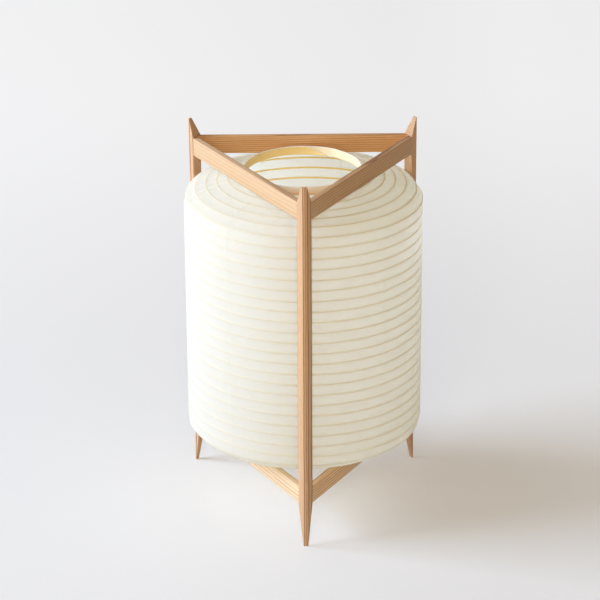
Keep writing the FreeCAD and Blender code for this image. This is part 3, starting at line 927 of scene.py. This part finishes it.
def mouth_band(name, bottom, height, spring):
    """Bamboo band bent to a ring. Its slanted inner end stops at the rear, where the outer end laps it."""
    slant_start = 66.0
    slant_sweep = 21.0
    thin_sweep = 33.0
    lap_sweep = 46.0
    step_sweep = 14.0
    step_end_sweep = 6.0
    end_sweep = 10.0
    step_aside = 0.95 * MM
    bow = 0.08 * MM
    lift = 0.12 * MM
    tip_height = 0.3 * MM
    softening = 0.25 * MM
    count = 270
    grid = []
    for index in range(count + 1):
        gone = (FULL_TURN + lap_sweep) * index / count
        opened = min(gone / slant_sweep, 1.0)
        start_share = 1 - min(gone / thin_sweep, 1.0)
        past = min(max(gone - (FULL_TURN - step_end_sweep - step_sweep), 0.0) / step_sweep, 1.0)
        aside = past ** 2 * (3 - 2 * past) * step_aside
        end_share = max(gone - (FULL_TURN + lap_sweep - end_sweep), 0.0) / end_sweep
        wall = BAND_THICKNESS * (1 - 0.6 * max(start_share, end_share))
        wave = noise.noise(Vector((gone * 0.035, 3.1, 0)))
        inner = MOUTH_RADIUS + aside + bow * wave
        outer = inner + wall
        low = bottom + lift * max(wave, 0)
        high = low + (height + spring * start_share ** 2) * opened + tip_height * (1 - opened)
        edge = min(softening, (high - low) / 3)
        corners = [
            (inner + edge, low),
            (outer - edge, low),
            (outer, low + edge),
            (outer, high - edge),
            (outer - edge, high),
            (inner + edge, high),
            (inner, high - edge),
            (inner, high - 2 * edge),
            (inner, low + edge),
        ]
        grid.append([round_point(radius, slant_start + gone, z) for radius, z in corners])
    mesh = mesh_from_grid(name, grid, closed_across=True)
    width = len(grid[0])
    rim_corners = (3, 4, 5, 6)
    gone_shares = [index / count for index in range(count + 1) for corner in range(width)]
    rims = [float(corner in rim_corners) for index in range(count + 1) for corner in range(width)]
    carry(mesh, "gone", gone_shares)
    carry(mesh, "rim", rims)
    work = bmesh.new()
    work.from_mesh(mesh)
    work.verts.ensure_lookup_table()
    work.faces.new([work.verts[j] for j in range(width)])
    work.faces.new([work.verts[count * width + j] for j in reversed(range(width))])
    bmesh.ops.recalc_face_normals(work, faces=work.faces)
    work.to_mesh(mesh)
    work.free()
    return smoothed(mesh, 30.0)


class ANDON_OT_mouth_rings(bpy.types.Operator):
    """Bend and lap the two bamboo bands of the mouths"""

    bl_idname = "andon.mouth_rings"
    bl_label = "Mouth rings"

    def execute(self, context):
        lantern = context.scene.andon_lantern
        pith = lantern.bamboo_pith
        material = bamboo("band_bamboo", pith, 0.9, lantern.bamboo_skin_and_painted_shade, lantern.bamboo_painted_shade)
        height = RING_HIGH.z - RING_LOW.z
        top = mouth_band("top_band", RING_LOW.z, height, 1.0 * MM)
        bottom = mouth_band("bottom_band", LOW_RING_BOTTOM, height, 0.0)
        piece("top_mouth_band", top, material, "top_mouth_ring")
        piece("bottom_mouth_band", bottom, material, "bottom_mouth_ring")
        return {"FINISHED"}


# Lampholder and bulb

def thread_tree():
    """Geometry nodes that press a rolled thread into a turned wall."""
    kinds = dict.fromkeys(("Pitch", "Depth", "Low", "High", "Run Out"), "Float")
    kinds.update({"Axis": "Vector", "Plating": "Material"})
    n, sockets, given = new_tree("rolled_thread", "Wall", "Threaded", kinds)
    place = n.add("GeometryNodeInputPosition")
    place = n.add("ShaderNodeVectorMath", {"operation": "SUBTRACT"}, {0: place, 1: given["Axis"]})
    apart = n.tree.nodes.new("ShaderNodeSeparateXYZ")
    n.feed(apart.inputs[0], place)
    x, y, z = [Wire(n, socket) for socket in apart.outputs]
    turns = n.math("ARCTAN2", y, x) / math.tau
    wave = 0.5 - 0.5 * n.math("COSINE", (z / given["Pitch"] - turns) * math.tau)
    ends = []
    for edge, sign in ((given["Low"], 1.0), (given["High"], -1.0)):
        reach = {"Value": (z - edge) * sign, "From Max": THREAD_FADE}
        ends.append(n.add("ShaderNodeMapRange", {"interpolation_type": "SMOOTHSTEP"}, reach))
    inside = ends[0] * ends[1]
    depth = (wave * inside + given["Run Out"] * (1.0 - inside)) * given["Depth"]
    radius = n.math("SQRT", x * x + y * y)
    depth = depth * n.math("GREATER_THAN", radius, THREAD_LEAST_RADIUS)
    out = n.add("ShaderNodeCombineXYZ", None, {0: x / radius, 1: y / radius})
    push = n.add("ShaderNodeVectorMath", {"operation": "SCALE"}, {0: out, "Scale": depth * -1.0})
    wall = n.add("GeometryNodeSetPosition", None, {"Geometry": given["Wall"], "Offset": push})
    wall = n.add("GeometryNodeRealizeInstances", None, {"Geometry": wall})
    wall = n.add("GeometryNodeSetMaterial", None, {"Geometry": wall, "Material": given["Plating"]})
    n.add("NodeGroupOutput", None, {"Threaded": wall})
    return n.tree, sockets


def threaded(mesh, low, high, run_out, material):
    """Turned wall with the bulb's thread between two heights, and this share of its depth past them."""
    light = bpy.context.scene.andon_light
    tree, sockets = thread_tree()
    values = {
        "Pitch": light.thread_pitch,
        "Depth": light.thread_depth,
        "Low": low,
        "High": high,
        "Run Out": run_out,
        "Axis": AXIS,
        "Plating": material,
    }
    return smoothed(formed(mesh, tree, sockets, values), 50.0)


def risers(radius, low, high):
    """Points up a wall, close enough together for a thread."""
    count = round((high - low) / THREAD_STEP)
    return [(radius, low + (high - low) * index / count) for index in range(count + 1)]


def arc(middle_radius, middle_height, radius, start, end, count):
    """Points of a rounded outline, from one slope to another in degrees."""
    points = []
    for index in range(count + 1):
        slope = math.radians(start + (end - start) * index / count)
        points.append((middle_radius + radius * math.cos(slope), middle_height + radius * math.sin(slope)))
    return points


def crossed(mesh, x, top):
    """Screw head mesh with a cross recess cut into it."""
    arm = RECESS_ARM
    half = RECESS_HALF_WIDTH
    steps = ((half, arm), (half, half), (arm, half))
    plan = []
    for turn in range(4):
        quarter = Matrix.Rotation(math.pi / 2 * turn, 2)
        plan += [quarter @ Vector(step) for step in reversed(steps)][:2]
    points = []
    for share, height in ((1.0, top + RECESS_OVERRUN), (RECESS_TAPER_SHARE, top - RECESS_DEPTH)):
        points += [Vector((x + p.x * share, AXIS_Y + p.y * share, height)) for p in plan]
    count = len(plan)
    faces = [tuple(range(count)), tuple(reversed(range(count, 2 * count)))]
    faces += [(j, (j + 1) % count, count + (j + 1) % count, count + j) for j in range(count)]
    cutter_mesh = bpy.data.meshes.new("driver")
    cutter_mesh.from_pydata(points, [], faces)
    cutter = linked("cutter", outward(cutter_mesh))
    holder = linked("holder", mesh)
    cut = holder.modifiers.new("recess", "BOOLEAN")
    cut.object = cutter
    cut.operation = "DIFFERENCE"
    cut.solver = "EXACT"
    result = baked(holder)
    bpy.data.objects.remove(cutter)
    return result


def screw_pair():
    """Two pan head screws through the bracket into the bar."""
    low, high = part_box("bracket_screws")
    bracket_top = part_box("lampholder_bracket")[1].z
    head = (high.y - low.y) / 2
    shank = SCREW_SHANK_RADIUS
    rise = high.z - bracket_top
    side_share = 0.45
    outline = [(0, low.z), (shank * 0.3, low.z), (shank, low.z + SCREW_POINT), (shank, bracket_top)]
    outline += [(head, bracket_top), (head, bracket_top + rise * side_share)]
    for slope in (0.5, 0.9, 1.25):
        share = side_share + (1 - side_share) * math.sin(slope)
        outline.append((head * math.cos(slope), bracket_top + rise * share))
    outline.append((0, high.z))
    screws = []
    for x in (low.x + head, high.x - head):
        mesh = lathe("screw", outline, 40)
        mesh.transform(Matrix.Translation((x, 0, 0)))
        screws.append(crossed(mesh, x, high.z))
    return smoothed(merged("screws", screws), 30.0)


class ANDON_OT_lampholder(bpy.types.Operator):
    """Finish the bracket, its screws, the holder body, the screw shell and the contact"""

    bl_idname = "andon.lampholder"
    bl_label = "Lampholder"

    def execute(self, context):
        light = context.scene.andon_light
        zinc = metal("zinc_plate", light.zinc, 0.32, (0.4, 6.0, 6.0))
        brass = metal("brass_sheet", light.brass, 0.26, (0.5, 0.5, 5.0))
        white = moulding("white_moulding", light.moulding, 0.3, 0.3)
        bracket = softened("lampholder_bracket", BRACKET_EDGE)
        body = softened("lampholder_body", HOLDER_EDGE)
        contact = softened("lampholder_contact", CONTACT_EDGE)
        piece("bracket_plate", bracket, zinc, "lampholder_bracket")
        piece("bracket_screw_pair", screw_pair(), zinc, "bracket_screws")
        piece("holder_moulding", body, white, "lampholder_body")
        low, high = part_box("lampholder_shell")
        outside = (high.x - low.x) / 2
        inside = outside - SHELL_WALL
        wall = risers(outside, low.z, high.z) + risers(inside, low.z, high.z)[::-1]
        wall.append(wall[0])
        shell = threaded(lathe("shell", wall, 72), low.z, high.z, 0.0, brass)
        piece("holder_shell", shell, brass, "lampholder_shell")
        piece("holder_contact", contact, brass, "lampholder_contact")
        return {"FINISHED"}


class ANDON_OT_bulb(bpy.types.Operator):
    """Turn and finish the bulb: tip, insulator, threaded cap, housing and globe"""

    bl_idname = "andon.bulb"
    bl_label = "Bulb"

    def execute(self, context):
        light = context.scene.andon_light
        self.turn_tip(light)
        self.turn_cap(light)
        self.turn_housing(light)
        return {"FINISHED"}

    def turn_tip(self, light):
        """Solder bead, whose round underside presses on the contact."""
        tin = metal("tip_solder", light.zinc, 0.38, (2.0, 2.0, 2.0))
        low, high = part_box("bulb_tip")
        radius = (high.x - low.x) / 2
        rise = high.z - low.z
        outline = [(0, low.z), (radius * 0.55, low.z), (radius * 0.86, low.z + rise * 0.25)]
        outline += [(radius, low.z + rise * 0.8), (radius, high.z), (0, high.z)]
        bead = smoothed(lathe("bead", outline, 48), 50.0)
        piece("tip_bead", bead, tin, "bulb_tip", "bulb_tip")
        black = moulding("black_glass", srgb(24, 24, 26), 0.15, 0.4)
        glass = softened("bulb_insulator", INSULATOR_EDGE)
        piece("insulator_glass", glass, black, "bulb_insulator", "bulb")

    def turn_cap(self, light):
        nickel = metal("cap_nickel", light.nickel, 0.24, (0.5, 0.5, 5.0))
        low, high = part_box("bulb_cap")
        radius = (high.x - low.x) / 2
        flat = radius - 1.7 * MM
        roll = (radius - 0.7 * MM, low.z + 0.25 * MM)
        hem = low.z + 1.3 * MM
        collar = high.z - 1.6 * MM
        outline = [(0, low.z), (flat, low.z), roll] + risers(radius, hem, high.z) + [(0, high.z)]
        cap = threaded(lathe("cap", outline, 72), hem, collar, 1.0, nickel)
        piece("threaded_cap", cap, nickel, "bulb_cap", "bulb")

    def turn_housing(self, light):
        """White housing that flares up to the globe, with a fine groove under the globe's edge."""
        white = moulding("bulb_housing_white", light.opal, 0.42)
        opal = moulding("opal_globe", light.opal, 0.34)
        low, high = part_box("bulb_housing")
        top = (high.x - low.x) / 2
        bottom = CAP_HIGH.x + HOUSING_LIP
        edge = 0.4 * MM
        bow = 0.35 * MM
        groove = 0.5 * MM
        steps = 13
        outline = [(0, low.z), (bottom - edge, low.z), (bottom, low.z + edge)]
        for index in range(1, steps):
            share = index / steps
            radius = bottom + (top - bottom) * share - bow * math.sin(math.pi * share)
            outline.append((radius, low.z + (high.z - low.z) * share))
        outline += [(top - groove, high.z - groove), (top - groove, high.z), (0, high.z)]
        housing = smoothed(lathe("housing", outline, 96), 40.0)
        piece("housing_white", housing, white, "bulb_housing", "bulb")
        low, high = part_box("bulb_globe")
        radius = (high.x - low.x) / 2
        middle = high.z - radius
        start = -math.degrees(math.asin(min((middle - low.z) / radius, 1)))
        outline = [(0, low.z)] + arc(0, middle, radius, start, 90.0, 40)
        outline[-1] = (0, high.z)
        globe = smoothed(lathe("globe", outline, 96), 40.0)
        piece("globe_opal", globe, opal, "bulb_globe", "bulb")


# Studio

class ANDON_OT_studio(bpy.types.Operator):
    """Lay the pale floor, hang the lamps and place the camera"""

    bl_idname = "andon.studio"
    bl_label = "Studio"

    def execute(self, context):
        studio = context.scene.andon_studio
        self.lay_floor(studio)
        self.light_world(context.scene, studio)
        self.hang_lamps(studio)
        self.place_camera(context.scene, studio)
        context.scene.view_settings.view_transform = "Standard"
        return {"FINISHED"}

    def lay_floor(self, studio):
        reach = FLOOR_REACH
        mesh = bpy.data.meshes.new("floor")
        corners = [(-reach, -reach, 0), (reach, -reach, 0), (reach, reach, 0), (-reach, reach, 0)]
        mesh.from_pydata(corners, [], [(0, 1, 2, 3)])
        f = Finish("seamless_floor")
        x, y, z = f.parts(f.place)
        # Seen from the camera the floor partly shows a glow, a touch darker towards the right: a painted
        # falloff of the window light
        tone = f.mix(f.smooth(x, -0.5, 0.5), srgb(255, 255, 255), srgb(248, 248, 248))
        glow = f.add("ShaderNodeEmission", None, {"Color": tone, "Strength": 1.0})
        plain = f.principled(base_color=studio.floor, roughness=0.9)
        seen = f.tree.nodes.new("ShaderNodeLightPath").outputs["Is Camera Ray"]
        # The glow's share grows towards the back, where the floor meets the even backdrop, and towards the
        # right, where it lightens the far end of the lamp's shadow: painted light
        backdrop_and_painted_lift = 0.5 * f.smooth(y, -0.05, 1.3) + 0.12 * f.smooth(x, 0.12, 0.36)
        share = Wire(f, seen) * (studio.floor_evenness + backdrop_and_painted_lift)
        shader = f.add("ShaderNodeMixShader", None, {0: share, 1: plain, 2: glow})
        mesh.materials.append(f.finished(shader))
        floor = linked("floor", mesh)

    def light_world(self, scene, studio):
        world = bpy.data.worlds.new("studio_air")
        scene.world = world
        world.use_nodes = True
        n = Nodes(world.node_tree)
        world.node_tree.nodes.clear()
        daylight = {"Color": studio.fill, "Strength": studio.fill_strength}
        fill = n.add("ShaderNodeBackground", None, daylight)
        white = n.add("ShaderNodeBackground", None, {"Color": (0.86, 0.86, 0.86), "Strength": 1.0})
        path = self.seen_rays(n)
        shader = n.add("ShaderNodeMixShader", None, {0: path, 1: fill, 2: white})
        n.add("ShaderNodeOutputWorld", None, {"Surface": shader})

    def seen_rays(self, n):
        node = n.tree.nodes.new("ShaderNodeLightPath")
        kinds = ("Is Camera Ray", "Is Glossy Ray", "Is Transmission Ray")
        wires = [Wire(n, node.outputs[kind]) for kind in kinds]
        return n.math("MAXIMUM", n.math("MAXIMUM", wires[0], wires[1]), wires[2])

    def hang_lamps(self, studio):
        window = ("window", studio.key, studio.key_power, studio.key_size, WINDOW_PLACE)
        room = ("room", studio.room, studio.room_power, studio.key_size / 2, ROOM_PLACE)
        for name, colour, power, size, place in (window, room):
            data = bpy.data.lights.new(name, "AREA")
            data.shape = "SQUARE"
            data.size = size
            data.energy = power
            data.color = colour
            lamp = linked(name, data)
            lamp.location = place
            aim = Vector(LAMP_AIM) - lamp.location
            lamp.rotation_euler = aim.to_track_quat("-Z", "Y").to_euler()

    def place_camera(self, scene, studio):
        """Camera as fitted to the posts, rails and mouth ring in the photograph."""
        pitch = math.radians(23.211)
        roll = math.radians(-0.338)
        lamp_turn = math.radians(0.245)
        stand = Vector((-3.86, -2543.9, 1300.0)) * MM
        data = bpy.data.cameras.new("camera")
        data.sensor_width = 36.0
        data.lens = studio.lens
        data.clip_end = 50.0
        camera = linked("camera", data)
        look = Matrix.Rotation(math.pi / 2 - pitch, 4, "X") @ Matrix.Rotation(roll, 4, "Z")
        placed = Matrix.Rotation(-lamp_turn, 4, "Z") @ Matrix.Translation(stand) @ look
        camera.matrix_world = Matrix.Translation(AXIS) @ placed
        scene.camera = camera


class ANDON_PT_panel(bpy.types.Panel):
    """Steps that dress the lamp"""

    bl_idname = "ANDON_PT_panel"
    bl_label = "Andon lamp"
    bl_space_type = "VIEW_3D"
    bl_region_type = "UI"
    bl_category = "Andon lamp"

    def draw(self, context):
        for operator in OPERATORS:
            self.layout.operator(operator.bl_idname)
        for name in SETTINGS:
            box = self.layout.box()
            for setting in getattr(context.scene, name).bl_rna.properties.keys():
                if setting not in ("rna_type", "name"):
                    box.prop(getattr(context.scene, name), setting)


SETTINGS = {
    "andon_wood": AndonWood,
    "andon_lantern": AndonLantern,
    "andon_light": AndonLight,
    "andon_studio": AndonStudio,
}
OPERATORS = (
    ANDON_OT_posts,
    ANDON_OT_rails,
    ANDON_OT_paper,
    ANDON_OT_hoop_strip,
    ANDON_OT_mouth_rings,
    ANDON_OT_lampholder,
    ANDON_OT_bulb,
    ANDON_OT_studio,
)


def register():
    for name, group in SETTINGS.items():
        bpy.utils.register_class(group)
        setattr(bpy.types.Scene, name, PointerProperty(type=group))
    for entry in (*OPERATORS, ANDON_PT_panel):
        bpy.utils.register_class(entry)


def unregister():
    for entry in (ANDON_PT_panel, *reversed(OPERATORS)):
        bpy.utils.unregister_class(entry)
    for name, group in reversed(SETTINGS.items()):
        delattr(bpy.types.Scene, name)
        bpy.utils.unregister_class(group)


def main():
    register()
    bpy.ops.andon.posts()
    bpy.ops.andon.rails()
    bpy.ops.andon.paper()
    bpy.ops.andon.hoop_strip()
    bpy.ops.andon.mouth_rings()
    bpy.ops.andon.lampholder()
    bpy.ops.andon.bulb()
    bpy.ops.andon.studio()


if __name__ == "__main__":
    main()
